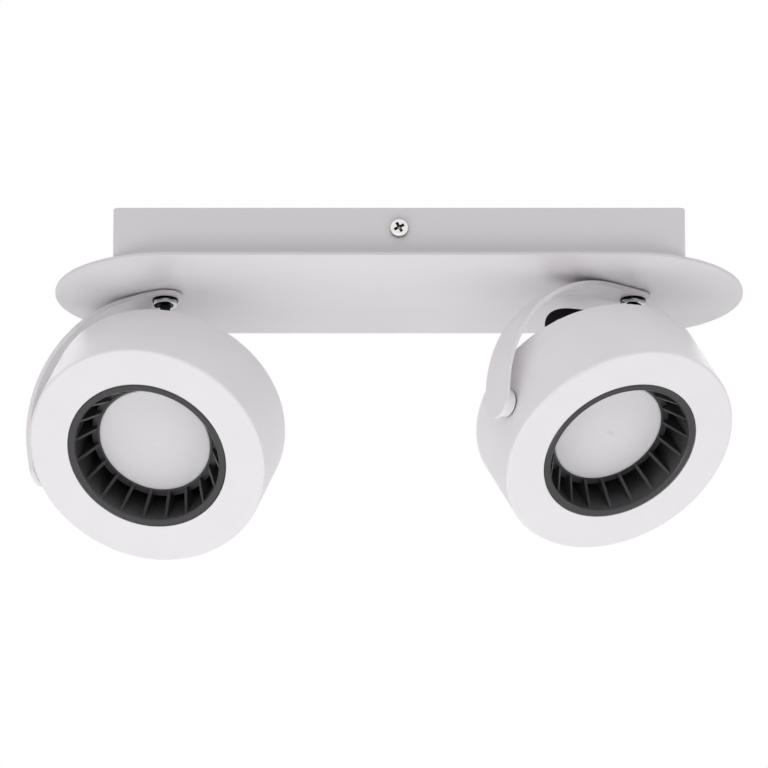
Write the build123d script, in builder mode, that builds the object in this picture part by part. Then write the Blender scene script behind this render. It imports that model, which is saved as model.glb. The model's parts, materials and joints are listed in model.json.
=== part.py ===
from build123d import *
import os
from math import cos, radians, sin

# Two-headed ceiling spotlight. X runs along the bar, Y from front to back, Z up.
# The ceiling plane is Z = 0 and its middle is the origin. All sizes are in millimetres.

# Running fit of a pin or screw in its hole, and a loose fit between two pieces, both radial
running_fit = 0.05
loose_fit = 0.2

# Base plate, canopy and ceiling bracket
plate_length = 300.0
plate_width = 96.0
base_sheet = 1.2
canopy_inset = 26.0
canopy_depth = 84.0
canopy_height = 23.0
canopy_corner = 2.5
bracket_sheet = 1.5
bracket_length = 70.0
bracket_drop = 16.0
bracket_play = 0.3
ceiling_hole_spacing = 50.0
ceiling_slot_length = 10.0
ceiling_slot_width = 4.6
supply_entry_radius = 9.0
side_screw_drop = 9.8

# Side screws of the canopy, M4 pan head
side_screw_radius = 1.95
side_screw_head_radius = 4.0
side_screw_head_height = 2.4
side_screw_length = 8.0
side_screw_turn = 28.0

# Cross-recess heads, as shares of the head's radius or height
recess_width_share = 0.32
recess_length_share = 1.2
recess_depth_share = 0.65
crown_share = 0.45

# Swivel: hollow nipple, nuts and washers on one upright axis at each end of the plate
nipple_radius = 3.5
nipple_bore_radius = 2.7
nipple_overrun = 0.3
nut_flats = 10.0
nut_height = 1.8
nut_chamfer = 0.5
lock_washer_radius = 5.6
lock_washer_height = 0.8
friction_washer_radius = 6.6
friction_washer_height = 0.6
swivel_spring_radius = 6.0
swivel_spring_height = 0.8
stop_washer_radius = 7.5
stop_washer_height = 1.0
stop_tab_reach = 13.0
stop_tab_width = 4.0
stop_pin_circle = 11.0
stop_pin_radius = 1.5

# Arm: one strip, flat at its nut, bent through a quarter circle, leaning back on its way down
arm_width = 15.0
arm_sheet = 2.0
arm_bend_radius = 56.0
arm_lean = 5.5
pivot_drop = 62.7
head_offset = 12.5

# Tilt pivot: screw from inside the drum into a boss on the arm
tilt_screw_radius = 2.5
tilt_screw_head_radius = 4.5
tilt_screw_head_height = 3.2
tilt_spring_radius = 5.5
tilt_spring_height = 0.6
tilt_pad_radius = 8.0
tilt_pad_depth = 4.0
tilt_washer_radius = 5.8
tilt_washer_height = 0.5
tilt_washer_gap = 0.2
tilt_boss_radius = 6.0
tilt_boss_length = 4.3

# Drum and its rear cover
drum_radius = 53.0
drum_depth = 36.0
tilt_axis_setback = 17.0
drum_wall = 1.8
drum_face = 2.5
drum_front_round = 1.2
drum_back_round = 0.8
cover_sheet = 2.0
cover_boss_inset = 2.8
cover_boss_radius = 3.2
cover_boss_count = 3
cover_boss_start = 60.0
cover_screw_radius = 1.45
cover_screw_head_radius = 2.75
cover_screw_head_height = 1.7
cover_screw_length = 9.0
cover_pilot_extra = 1.0
vent_count = 12
vent_circle = 30.0
vent_length = 12.0
vent_width = 2.6
grommet_hole_radius = 4.5

# Black finned light engine
rim_radius = 35.5
rim_width = 3.2
rim_height = 1.8
rim_proud = 0.3
rim_chamfer = 0.6
engine_wall = 1.4
engine_depth = 25.0
engine_floor = 2.0
fin_count = 20
fin_start = 11.0
fin_sheet = 1.4
fin_front_setback = 1.2
fin_bite = 0.3
well_depth = 13.6
well_wall = 0.9
well_flange_width = 2.6
well_flange_sheet = 1.0
well_flange_setback = 0.8
wire_hole_radius = 3.0
locking_ring_width = 5.2
locking_ring_height = 2.5
locking_ring_notch = 3.0
locking_ring_notches = 4

# Diffuser, light board and chips
diffuser_radius = 24.9
diffuser_sheet = 1.4
diffuser_dome = 1.6
board_radius = 23.0
board_sheet = 1.6
board_screw_circle = 19.0
board_screw_count = 3
board_screw_start = 20.0
board_screw_radius = 1.2
board_screw_head_radius = 2.2
board_screw_head_height = 1.3
board_screw_length = 3.2
chip_length = 3.5
chip_width = 2.8
chip_height = 0.8
chip_circle = 12.0
chip_count = 9

# Lead between nipple and drum, with the grommet that holds it in the rear cover
lead_radius = 2.2
lead_above_nipple = 4.0
lead_turn = 11.2
lead_turn_bend = 5.0
lead_loop_out = 32.0
lead_loop_back = 26.6
lead_loop_drop = 8.0
lead_loop_bend = 10.0
lead_entry_run = 16.0
lead_entry_bend = 10.0
lead_inside = 7.0
grommet_flange_radius = 6.5
grommet_flange_height = 1.2
grommet_nose_radius = 3.8
grommet_nose_length = 6.0
grommet_nose_taper = 1.0
grommet_tail_radius = 5.2
grommet_tail_height = 1.5

# Inside the canopy
driver_length = 50.0
driver_width = 34.0
driver_height = 16.0
driver_round = 2.0
driver_swivel_gap = 2.0
driver_pad_height = 1.0
driver_pad_inset = 4.0
terminal_pitch = 10.0
terminal_poles = 3
terminal_length = 18.0
terminal_height = 13.0
terminal_swivel_gap = 38.0
terminal_wire_radius = 1.7
terminal_wire_height = 4.5
terminal_screw_radius = 1.7
terminal_screw_spacing = 9.0
terminal_screw_length = 4.5
terminal_screw_sink = 1.0
screw_slot_width = 0.7
screw_slot_depth = 0.8
earth_stud_radius = 2.0
earth_stud_height = 9.0
earth_swivel_gap = 20.0
earth_wall_gap = 14.0
earth_nut_flats = 7.0
earth_nut_height = 3.2
earth_nut_lift = 2.0

# The pose in the photograph: turn of each arm about its swivel, sag of its strip past the nut, and tilt
# of each head from straight down
arm_turn = {"left": 152.0, "right": 217.0}
arm_sag = {"left": 5.2, "right": 0.9}
head_tilt = {"left": 40.5, "right": 36.3}

# Levels and places that follow from the sizes above
plate_top = -canopy_height
plate_under = plate_top - base_sheet
floor_top = plate_top + base_sheet
swivel_x = (plate_length - plate_width) / 2
swivel_hole_radius = nipple_radius + running_fit
canopy_length = plate_length - 2 * canopy_inset
front_wall_y = canopy_depth / 2
driver_x = stop_tab_reach + driver_swivel_gap + driver_length / 2 - swivel_x
terminal_x = swivel_x - terminal_swivel_gap
earth_x = swivel_x - earth_swivel_gap
earth_y = front_wall_y - earth_wall_gap

# Levels in a swivel's own frame, whose Z = 0 is the underside of the plate
swivel_floor = 2 * base_sheet
stop_washer_z = swivel_floor + friction_washer_height
swivel_spring_z = stop_washer_z + stop_washer_height
upper_nut_z = swivel_spring_z + swivel_spring_height
nipple_top = upper_nut_z + nut_height + nipple_overrun
arm_top = -friction_washer_height
arm_under = arm_top - arm_sheet
half_arm = arm_width / 2
leg_drop = pivot_drop + arm_top
lower_nut_z = arm_under - lock_washer_height - nut_height
nipple_end = lower_nut_z - nipple_overrun

# Distances from the drum's axis along the tilt axis
tilt_washer_x = drum_radius + tilt_washer_gap
tilt_boss_x = tilt_washer_x + tilt_washer_height
arm_inner_x = tilt_boss_x + tilt_boss_length
arm_outer_x = arm_inner_x + arm_sheet
tilt_pad_x = drum_radius - tilt_pad_depth
tilt_spring_x = tilt_pad_x - tilt_spring_height
tilt_hole_radius = tilt_screw_radius + running_fit
cover_boss_circle = drum_radius - drum_wall - cover_boss_inset

# Levels along the drum's axis, whose Z = 0 is the tilt axis; the light leaves toward -Z
face_z = -tilt_axis_setback
back_z = drum_depth - tilt_axis_setback
face_inner_z = face_z + drum_face
cover_z = back_z - cover_sheet
rim_front_z = face_z - rim_proud
rim_seat_z = rim_front_z + rim_height
rim_inner_radius = rim_radius - rim_width
engine_radius = rim_inner_radius + engine_wall
engine_back_z = face_z + engine_depth
engine_floor_z = engine_back_z - engine_floor
well_front_z = face_z + well_depth
well_inner_radius = diffuser_radius + loose_fit
well_outer_radius = well_inner_radius + well_wall
well_flange_radius = well_outer_radius + well_flange_width
well_flange_z = well_front_z + well_flange_setback
board_z = engine_floor_z - board_sheet
diffuser_skirt_radius = diffuser_radius - diffuser_sheet

swivels = {"left": -swivel_x, "right": swivel_x}
# Place of each arm, and of its tilt pivot and its head in the arm's own frame
arm_place = {}
pivot_in_arm = {}
head_in_arm = {}
for side, centre_x in swivels.items():
    arm_place[side] = Location((centre_x, 0, plate_under), (0, 0, arm_turn[side]))
    knee = Location((half_arm, 0, arm_top), (0, arm_sag[side], 0))
    pivot_in_arm[side] = knee * Location((head_offset - half_arm, -arm_lean, -leg_drop))
    head_in_arm[side] = pivot_in_arm[side] * Location((0, 0, 0), (head_tilt[side], 0, 0))

LOW = (Align.CENTER, Align.CENTER, Align.MIN)
HIGH = (Align.CENTER, Align.CENTER, Align.MAX)
# Turns a piece that was drawn along Z so that it lies along the tilt axis
along_tilt = (0, 90, 0)


def pan_screw(head_radius, head_height, shank_radius, shank_length):
    """Screw with a cross recess; its head bears on Z = 0 and its shank points to -Z."""
    recess_width = head_radius * recess_width_share
    recess_length = head_radius * recess_length_share
    recess_depth = head_height * recess_depth_share
    with BuildPart() as screw:
        Cylinder(head_radius, head_height, align=LOW)
        crown = screw.edges().filter_by(GeomType.CIRCLE).sort_by(Axis.Z)[-1]
        fillet(crown, radius=head_height * crown_share)
        Cylinder(shank_radius, shank_length, align=HIGH)
        with Locations((0, 0, head_height)):
            Box(recess_length, recess_width, 2 * recess_depth, mode=Mode.SUBTRACT)
            Box(recess_width, recess_length, 2 * recess_depth, mode=Mode.SUBTRACT)
    return screw.part


def ring(outer_radius, inner_radius, height):
    """Flat ring that stands on Z = 0."""
    with BuildPart() as washer:
        Cylinder(outer_radius, height, align=LOW)
        Cylinder(inner_radius, height, align=LOW, mode=Mode.SUBTRACT)
    return washer.part


def hexagon_nut(flats, height, bore_radius, chamfer_size):
    """Nut that stands on Z = 0, its corners turned off at both ends."""
    with BuildPart() as nut:
        with BuildSketch():
            RegularPolygon(flats / 2, 6, major_radius=False)
        extrude(amount=height)
        with BuildSketch(Plane.XZ):
            with BuildLine():
                Polyline(
                    (0, 0),
                    (flats / 2, 0),
                    (flats / 2 + 2 * chamfer_size, chamfer_size),
                    (flats / 2 + 2 * chamfer_size, height - chamfer_size),
                    (flats / 2, height),
                    (0, height),
                    close=True,
                )
            make_face()
        revolve(axis=Axis.Z, mode=Mode.INTERSECT)
        Cylinder(bore_radius, height, align=LOW, mode=Mode.SUBTRACT)
    return nut.part


def save(shape, label):
    """Write one named piece."""
    shape.label = label
    export_step(shape, f"parts/{label}.step")


def save_group(shapes, label):
    """Write several like pieces as one node."""
    save(Compound(children=list(shapes)), label)


os.makedirs("parts", exist_ok=True)

with BuildPart() as canopy_box:
    with BuildSketch(Plane.XY.offset(plate_top)):
        RectangleRounded(canopy_length, canopy_depth, canopy_corner)
    extrude(amount=canopy_height)
    with BuildSketch(Plane.XY.offset(floor_top)):
        RectangleRounded(
            canopy_length - 2 * base_sheet,
            canopy_depth - 2 * base_sheet,
            canopy_corner - base_sheet,
        )
    extrude(amount=canopy_height, mode=Mode.SUBTRACT)
    with Locations((-swivel_x, 0, plate_top), (swivel_x, 0, plate_top)):
        Cylinder(swivel_hole_radius, base_sheet, align=LOW, mode=Mode.SUBTRACT)
    with Locations(
        (-swivel_x + stop_pin_circle, 0, plate_top), (swivel_x + stop_pin_circle, 0, plate_top)
    ):
        Cylinder(stop_pin_radius + running_fit, base_sheet, align=LOW, mode=Mode.SUBTRACT)
    with Locations(Location((0, 0, -side_screw_drop), (90, 0, 0))):
        Cylinder(side_screw_radius + loose_fit, 2 * canopy_depth, mode=Mode.SUBTRACT)
save(canopy_box.part, "canopy_box")

with BuildPart() as base_plate:
    with BuildSketch(Plane.XY.offset(plate_under)):
        SlotOverall(plate_length, plate_width)
        with Locations((-swivel_x, 0), (swivel_x, 0)):
            Circle(swivel_hole_radius, mode=Mode.SUBTRACT)
    extrude(amount=base_sheet)
save(base_plate.part, "base_plate")

bracket_depth = canopy_depth - 2 * (base_sheet + bracket_play)
with BuildPart() as mounting_bracket:
    with BuildSketch(Plane.YZ):
        with Locations((0, -bracket_drop / 2)):
            Rectangle(bracket_depth, bracket_drop)
        with Locations((0, -bracket_sheet - bracket_drop / 2)):
            Rectangle(bracket_depth - 2 * bracket_sheet, bracket_drop, mode=Mode.SUBTRACT)
    extrude(amount=bracket_length / 2, both=True)
    with BuildSketch(Plane.XY.offset(-bracket_sheet)):
        Circle(supply_entry_radius)
        with Locations((-ceiling_hole_spacing / 2, 0), (ceiling_hole_spacing / 2, 0)):
            SlotOverall(ceiling_slot_length, ceiling_slot_width)
    extrude(amount=bracket_sheet, mode=Mode.SUBTRACT)
    with Locations(Location((0, 0, -side_screw_drop), (90, 0, 0))):
        Cylinder(side_screw_radius + running_fit, 2 * canopy_depth, mode=Mode.SUBTRACT)
save(mounting_bracket.part, "mounting_bracket")

side_screw = pan_screw(
    side_screw_head_radius, side_screw_head_height, side_screw_radius, side_screw_length
)
as_driven = Location((0, 0, 0), (0, 0, side_screw_turn))
front_place = Location((0, -front_wall_y, -side_screw_drop), (90, 0, 0))
back_place = Location((0, front_wall_y, -side_screw_drop), (-90, 0, 0))
front_screw = side_screw.moved(front_place * as_driven)
back_screw = side_screw.moved(back_place * as_driven)
save_group([front_screw, back_screw], "canopy_screws")

with BuildPart() as driver_pad:
    with Locations((driver_x, 0, floor_top)):
        Box(
            driver_length - 2 * driver_pad_inset,
            driver_width - 2 * driver_pad_inset,
            driver_pad_height,
            align=LOW,
        )
save(driver_pad.part, "driver_pad")

with BuildPart() as led_driver:
    with Locations((driver_x, 0, floor_top + driver_pad_height)):
        Box(driver_length, driver_width, driver_height, align=LOW)
    fillet(led_driver.edges().filter_by(Axis.Z), radius=driver_round)
save(led_driver.part, "led_driver")

pole_places = GridLocations(
    terminal_screw_spacing, terminal_pitch, 2, terminal_poles
).locations
terminal_top = floor_top + terminal_height
terminal_wire_z = floor_top + terminal_wire_height
terminal_screw_z = terminal_top - terminal_screw_sink - terminal_screw_length
with BuildPart() as terminal_block:
    with Locations((terminal_x, 0, floor_top)):
        Box(terminal_length, terminal_pitch * terminal_poles, terminal_height, align=LOW)
    with Locations((terminal_x, 0, 0)):
        with GridLocations(0, terminal_pitch, 1, terminal_poles):
            with Locations(Location((0, 0, terminal_wire_z), along_tilt)):
                Cylinder(terminal_wire_radius, 2 * terminal_length, mode=Mode.SUBTRACT)
        with Locations(pole_places):
            with Locations((0, 0, terminal_screw_z)):
                Cylinder(
                    terminal_screw_radius + running_fit,
                    terminal_height,
                    align=LOW,
                    mode=Mode.SUBTRACT,
                )
save(terminal_block.part, "terminal_block")

with BuildPart() as terminal_screw:
    Cylinder(terminal_screw_radius, terminal_screw_length, align=LOW)
    with Locations((0, 0, terminal_screw_length)):
        Box(4 * terminal_screw_radius, screw_slot_width, 2 * screw_slot_depth, mode=Mode.SUBTRACT)
terminal_origin = Location((terminal_x, 0, terminal_screw_z))
save_group(
    [terminal_screw.part.moved(terminal_origin * place) for place in pole_places],
    "terminal_screws",
)

with BuildPart() as earth_stud:
    with Locations((earth_x, earth_y, floor_top)):
        Cylinder(earth_stud_radius, earth_stud_height, align=LOW)
save(earth_stud.part, "earth_stud")

earth_nut = hexagon_nut(
    earth_nut_flats, earth_nut_height, earth_stud_radius + running_fit, nut_chamfer
)
save(earth_nut.moved(Location((earth_x, earth_y, floor_top + earth_nut_lift))), "earth_nut")

# Pieces of one swivel and arm, drawn in the swivel's own frame: X toward the arm, Z = 0 under the plate
nipple_loose_radius = nipple_radius + running_fit
swivel_nipple = ring(nipple_radius, nipple_bore_radius, nipple_top - nipple_end)
swivel_nut = hexagon_nut(nut_flats, nut_height, nipple_loose_radius, nut_chamfer)
friction_washer = ring(friction_washer_radius, nipple_loose_radius, friction_washer_height)
swivel_spring = ring(swivel_spring_radius, nipple_loose_radius, swivel_spring_height)
lock_washer = ring(lock_washer_radius, nipple_loose_radius, lock_washer_height)

with BuildPart() as stop_washer:
    with BuildSketch(Plane.XY.offset(stop_washer_z)):
        Circle(stop_washer_radius)
        with Locations((stop_tab_reach / 2, 0)):
            Rectangle(stop_tab_reach, stop_tab_width)
        Circle(nipple_loose_radius, mode=Mode.SUBTRACT)
    extrude(amount=stop_washer_height)

with BuildPart() as stop_pin:
    with Locations((stop_pin_circle, 0, base_sheet)):
        Cylinder(stop_pin_radius, swivel_spring_z + stop_washer_height - base_sheet, align=LOW)

# Places along the strip of an arm, measured from the knee beside its nut
leg_inner = head_offset + arm_inner_x - half_arm
leg_outer = head_offset + arm_outer_x - half_arm
bend_start = leg_outer - arm_bend_radius
leg_end = leg_drop + arm_width


def arm_strip(sag):
    """Arm in its swivel's own frame; from the knee on, the whole strip slopes down by the sag."""
    along = (cos(radians(sag)), 0, -sin(radians(sag)))
    knee = (half_arm, 0, arm_top)
    with BuildPart() as strip:
        with BuildSketch(Plane(knee, x_dir=along, z_dir=(0, -1, 0))):
            with BuildLine():
                Line((0, 0), (bend_start, 0))
                CenterArc((bend_start, -arm_bend_radius), arm_bend_radius, 0, 90)
                Line((leg_outer, -arm_bend_radius), (leg_outer, -leg_end))
                Line((leg_outer, -leg_end), (leg_inner, -leg_end))
                Line((leg_inner, -leg_end), (leg_inner, -arm_bend_radius))
                CenterArc((bend_start, -arm_bend_radius), arm_bend_radius - arm_sheet, 0, 90)
                Line((bend_start, -arm_sheet), (0, -arm_sheet))
                Line((0, -arm_sheet), (0, 0))
            make_face()
        extrude(amount=arm_width + arm_lean, both=True)
        # Outline of the strip seen along its slope: upright at the top, leaning back, round at the pivot
        with BuildSketch(Plane(knee, x_dir=(0, 1, 0), z_dir=along)):
            with BuildLine():
                Polyline(
                    (-half_arm, 0),
                    (half_arm, 0),
                    (half_arm, -arm_sheet),
                    (half_arm - arm_lean, -leg_drop),
                    (-half_arm - arm_lean, -leg_drop),
                    (-half_arm, -arm_sheet),
                    close=True,
                )
            make_face()
            with Locations((-arm_lean, -leg_drop)):
                Circle(half_arm)
        extrude(amount=leg_outer + arm_width, both=True, mode=Mode.INTERSECT)
        with BuildSketch(Plane.XY.offset(arm_under)):
            Circle(half_arm)
            with Locations((half_arm / 2, 0)):
                Rectangle(half_arm, arm_width)
        extrude(amount=arm_sheet)
        Cylinder(nipple_loose_radius, 4 * arm_sheet, mode=Mode.SUBTRACT)
    return strip.part


tilt_boss = ring(tilt_boss_radius, tilt_hole_radius, tilt_boss_length)
tilt_washer = ring(tilt_washer_radius, tilt_hole_radius, tilt_washer_height)
tilt_spring = ring(tilt_spring_radius, tilt_hole_radius, tilt_spring_height)
tilt_screw = pan_screw(
    tilt_screw_head_radius,
    tilt_screw_head_height,
    tilt_screw_radius,
    arm_inner_x - tilt_spring_x,
)
arm_pieces = {
    "swivel_nipple": swivel_nipple.moved(Location((0, 0, nipple_end))),
    "swivel_nut": swivel_nut.moved(Location((0, 0, lower_nut_z))),
    "lock_washer": lock_washer.moved(Location((0, 0, arm_under - lock_washer_height))),
    "swivel_upper_nut": swivel_nut.moved(Location((0, 0, upper_nut_z))),
    "swivel_spring": swivel_spring.moved(Location((0, 0, swivel_spring_z))),
    "stop_washer": stop_washer.part,
}
# Pieces of one tilt pivot on the arm, drawn about the pivot with X along the tilt axis
pivot_pieces = {
    "tilt_washer": tilt_washer.moved(Location((tilt_washer_x, 0, 0), along_tilt)),
    "tilt_screw": tilt_screw.moved(Location((tilt_spring_x, 0, 0), (0, -90, 0))),
}

# Pieces of one head, drawn in the head's own frame: Z along the drum's axis, X toward the arm
with BuildPart() as drum:
    with BuildSketch(Plane.XZ):
        with BuildLine():
            Polyline(
                (rim_radius + loose_fit, face_z),
                (drum_radius, face_z),
                (drum_radius, back_z),
                (drum_radius - drum_wall, back_z),
                (drum_radius - drum_wall, face_inner_z),
                (engine_radius + loose_fit, face_inner_z),
                (engine_radius + loose_fit, rim_seat_z),
                (rim_radius + loose_fit, rim_seat_z),
                close=True,
            )
        make_face()
    revolve(axis=Axis.Z)
    outer_edges = drum.edges().filter_by(GeomType.CIRCLE).sort_by(SortBy.RADIUS)[-2:]
    fillet(outer_edges.sort_by(Axis.Z)[0], radius=drum_front_round)
    back_edges = drum.edges().filter_by(GeomType.CIRCLE).group_by(Axis.Z)[-1]
    fillet(back_edges.sort_by(SortBy.RADIUS)[-1], radius=drum_back_round)
    with Locations((0, 0, face_inner_z)):
        with PolarLocations(cover_boss_circle, cover_boss_count, start_angle=cover_boss_start):
            Cylinder(cover_boss_radius, cover_z - face_inner_z, align=LOW)
    with Locations((0, 0, cover_z)):
        with PolarLocations(cover_boss_circle, cover_boss_count, start_angle=cover_boss_start):
            Cylinder(
                cover_screw_radius + running_fit,
                cover_screw_length + cover_pilot_extra - cover_sheet,
                align=HIGH,
                mode=Mode.SUBTRACT,
            )
    with Locations(Location((tilt_pad_x, 0, 0), along_tilt)):
        Cylinder(tilt_pad_radius, tilt_pad_depth - drum_wall / 2, align=LOW)
    with Locations(Location((tilt_pad_x, 0, 0), along_tilt)):
        Cylinder(tilt_hole_radius, 2 * tilt_pad_depth, mode=Mode.SUBTRACT)

with BuildPart() as rear_cover:
    with BuildSketch(Plane.XY.offset(cover_z)):
        Circle(drum_radius - drum_wall - loose_fit)
        Circle(grommet_hole_radius, mode=Mode.SUBTRACT)
        with PolarLocations(cover_boss_circle, cover_boss_count, start_angle=cover_boss_start):
            Circle(cover_screw_radius + running_fit, mode=Mode.SUBTRACT)
        with PolarLocations(vent_circle, vent_count):
            SlotOverall(vent_length, vent_width, mode=Mode.SUBTRACT)
    extrude(amount=cover_sheet)

cover_screw = pan_screw(
    cover_screw_head_radius, cover_screw_head_height, cover_screw_radius, cover_screw_length
)
cover_screw_places = PolarLocations(
    cover_boss_circle, cover_boss_count, start_angle=cover_boss_start
).locations
cover_screws = [cover_screw.moved(Location((0, 0, back_z)) * at) for at in cover_screw_places]

with BuildPart() as fin:
    with BuildSketch(Plane.XZ):
        with BuildLine():
            Polyline(
                (well_outer_radius - fin_bite, well_front_z + fin_bite),
                (rim_inner_radius + fin_bite, rim_front_z + fin_front_setback),
                (rim_inner_radius + fin_bite, engine_floor_z + fin_bite),
                (well_outer_radius - fin_bite, engine_floor_z + fin_bite),
                close=True,
            )
        make_face()
    extrude(amount=fin_sheet / 2, both=True)

with BuildPart() as light_engine:
    with BuildSketch(Plane.XZ):
        with BuildLine():
            Polyline(
                (rim_inner_radius + rim_chamfer, rim_front_z),
                (rim_radius - rim_chamfer, rim_front_z),
                (rim_radius, rim_front_z + rim_chamfer),
                (rim_radius, rim_seat_z),
                (engine_radius, rim_seat_z),
                (engine_radius, engine_back_z),
                (wire_hole_radius, engine_back_z),
                (wire_hole_radius, engine_floor_z),
                (well_inner_radius, engine_floor_z),
                (well_inner_radius, well_front_z),
                (well_outer_radius, well_front_z),
                (well_outer_radius, well_flange_z),
                (well_flange_radius, well_flange_z),
                (well_flange_radius, well_flange_z + well_flange_sheet),
                (well_outer_radius, well_flange_z + well_flange_sheet),
                (well_outer_radius, engine_floor_z),
                (rim_inner_radius, engine_floor_z),
                (rim_inner_radius, rim_front_z + rim_chamfer),
                close=True,
            )
        make_face()
    revolve(axis=Axis.Z)
    with PolarLocations(0, fin_count, start_angle=fin_start):
        add(fin.part)
    with PolarLocations(board_screw_circle, board_screw_count, start_angle=board_screw_start):
        with Locations((0, 0, engine_floor_z)):
            Cylinder(board_screw_radius + running_fit, engine_floor, align=LOW, mode=Mode.SUBTRACT)

locking_ring_radius = engine_radius + loose_fit + locking_ring_width
with BuildPart() as locking_ring:
    with BuildSketch(Plane.XY.offset(face_inner_z)):
        Circle(locking_ring_radius)
        Circle(engine_radius + loose_fit, mode=Mode.SUBTRACT)
        with PolarLocations(locking_ring_radius, locking_ring_notches):
            Rectangle(locking_ring_notch, locking_ring_notch, mode=Mode.SUBTRACT)
    extrude(amount=locking_ring_height)

with BuildPart() as diffuser:
    with BuildSketch(Plane.XZ):
        with BuildLine():
            apex_z = well_front_z - diffuser_dome
            ThreePointArc(
                (-diffuser_radius, well_front_z), (0, apex_z), (diffuser_radius, well_front_z)
            )
            Line((diffuser_radius, well_front_z), (diffuser_radius, engine_floor_z))
            Line((diffuser_radius, engine_floor_z), (-diffuser_radius, engine_floor_z))
            Line((-diffuser_radius, engine_floor_z), (-diffuser_radius, well_front_z))
        make_face()
        with BuildLine():
            ThreePointArc(
                (-diffuser_skirt_radius, well_front_z + diffuser_sheet),
                (0, apex_z + diffuser_sheet),
                (diffuser_skirt_radius, well_front_z + diffuser_sheet),
            )
            Line(
                (diffuser_skirt_radius, well_front_z + diffuser_sheet),
                (diffuser_skirt_radius, engine_floor_z),
            )
            Line((diffuser_skirt_radius, engine_floor_z), (-diffuser_skirt_radius, engine_floor_z))
            Line(
                (-diffuser_skirt_radius, engine_floor_z),
                (-diffuser_skirt_radius, well_front_z + diffuser_sheet),
            )
        make_face(mode=Mode.SUBTRACT)
        with Locations((-diffuser_radius, 0)):
            Rectangle(2 * diffuser_radius, 2 * drum_depth, mode=Mode.SUBTRACT)
    revolve(axis=Axis.Z)

with BuildPart() as led_board:
    with BuildSketch(Plane.XY.offset(board_z)):
        Circle(board_radius)
        Circle(wire_hole_radius, mode=Mode.SUBTRACT)
        with PolarLocations(board_screw_circle, board_screw_count, start_angle=board_screw_start):
            Circle(board_screw_radius + running_fit, mode=Mode.SUBTRACT)
    extrude(amount=board_sheet)

board_screw = pan_screw(
    board_screw_head_radius, board_screw_head_height, board_screw_radius, board_screw_length
)
board_screw_places = PolarLocations(
    board_screw_circle, board_screw_count, start_angle=board_screw_start
).locations
board_screws = [
    board_screw.moved(Location((0, 0, board_z)) * at * Location((0, 0, 0), (180, 0, 0)))
    for at in board_screw_places
]

with BuildPart() as led_chip:
    Box(chip_length, chip_width, chip_height, align=HIGH)
    fillet(led_chip.edges().filter_by(Axis.Z), radius=chip_height / 4)
chip_places = PolarLocations(chip_circle, chip_count).locations
led_chips = [led_chip.part.moved(Location((0, 0, board_z)) * at) for at in chip_places]

lead_hole_radius = lead_radius + running_fit
with BuildPart() as lead_grommet:
    with BuildSketch(Plane.XZ):
        with BuildLine():
            Polyline(
                (lead_hole_radius, cover_z - grommet_tail_height),
                (grommet_tail_radius, cover_z - grommet_tail_height),
                (grommet_tail_radius, cover_z),
                (grommet_hole_radius - running_fit, cover_z),
                (grommet_hole_radius - running_fit, back_z),
                (grommet_flange_radius, back_z),
                (grommet_flange_radius, back_z + grommet_flange_height),
                (grommet_nose_radius + grommet_nose_taper, back_z + grommet_flange_height),
                (grommet_nose_radius, back_z + grommet_nose_length),
                (lead_hole_radius, back_z + grommet_nose_length),
                close=True,
            )
        make_face()
    revolve(axis=Axis.Z)

head_pieces = {
    "drum": drum.part,
    "rear_cover": rear_cover.part,
    "light_engine": light_engine.part,
    "locking_ring": locking_ring.part,
    "diffuser": diffuser.part,
    "led_board": led_board.part,
    "lead_grommet": lead_grommet.part,
    "tilt_spring": tilt_spring.moved(Location((tilt_spring_x, 0, 0), along_tilt)),
}
head_groups = {
    "cover_screws": cover_screws,
    "board_screws": board_screws,
    "led_chips": led_chips,
}


def lead_route(side):
    """Corner points of one lead in its swivel's own frame, from the canopy into the drum."""
    axis_levels = [back_z + lead_entry_run, back_z - lead_inside]
    return [
        Vector(0, 0, nipple_top + lead_above_nipple),
        Vector(0, 0, -lead_turn),
        Vector(lead_loop_out, -lead_loop_back, -lead_loop_drop),
        *[(head_in_arm[side] * Location((0, 0, level))).position for level in axis_levels],
    ]


swivel_places = [Location((centre_x, 0, plate_under)) for centre_x in swivels.values()]
lower_place = Location((0, 0, arm_top))
upper_place = Location((0, 0, swivel_floor))
save_group([stop_pin.part.moved(at) for at in swivel_places], "stop_pins")
save_group([friction_washer.moved(at * lower_place) for at in swivel_places], "friction_washers")
save_group(
    [friction_washer.moved(at * upper_place) for at in swivel_places], "upper_friction_washers"
)

for side in swivels:
    pivot_place = arm_place[side] * pivot_in_arm[side]
    head_place = arm_place[side] * head_in_arm[side]
    arm = arm_strip(arm_sag[side]).moved(arm_place[side])
    save(arm, f"arm_{side}")
    # The boss is cut to the strip, so that it still seats where a wider bend comes down to it
    boss_place = pivot_place * Location((tilt_boss_x, 0, 0), along_tilt)
    save(tilt_boss.moved(boss_place) - arm, f"tilt_boss_{side}")
    for name, shape in arm_pieces.items():
        save(shape.moved(arm_place[side]), f"{name}_{side}")
    for name, shape in pivot_pieces.items():
        save(shape.moved(pivot_place), f"{name}_{side}")
    for name, shape in head_pieces.items():
        save(shape.moved(head_place), f"{name}_{side}")
    for name, shapes in head_groups.items():
        save_group([shape.moved(head_place) for shape in shapes], f"{name}_{side}")
    with BuildPart() as head_lead:
        with BuildLine() as route:
            FilletPolyline(
                *lead_route(side),
                radius=[lead_turn_bend, lead_loop_bend, lead_entry_bend],
            )
        with BuildSketch(Plane(route.line @ 0, z_dir=route.line % 0)):
            Circle(lead_radius)
        sweep()
    save(head_lead.part.moved(arm_place[side]), f"head_lead_{side}")
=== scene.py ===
import json
import math

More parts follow.
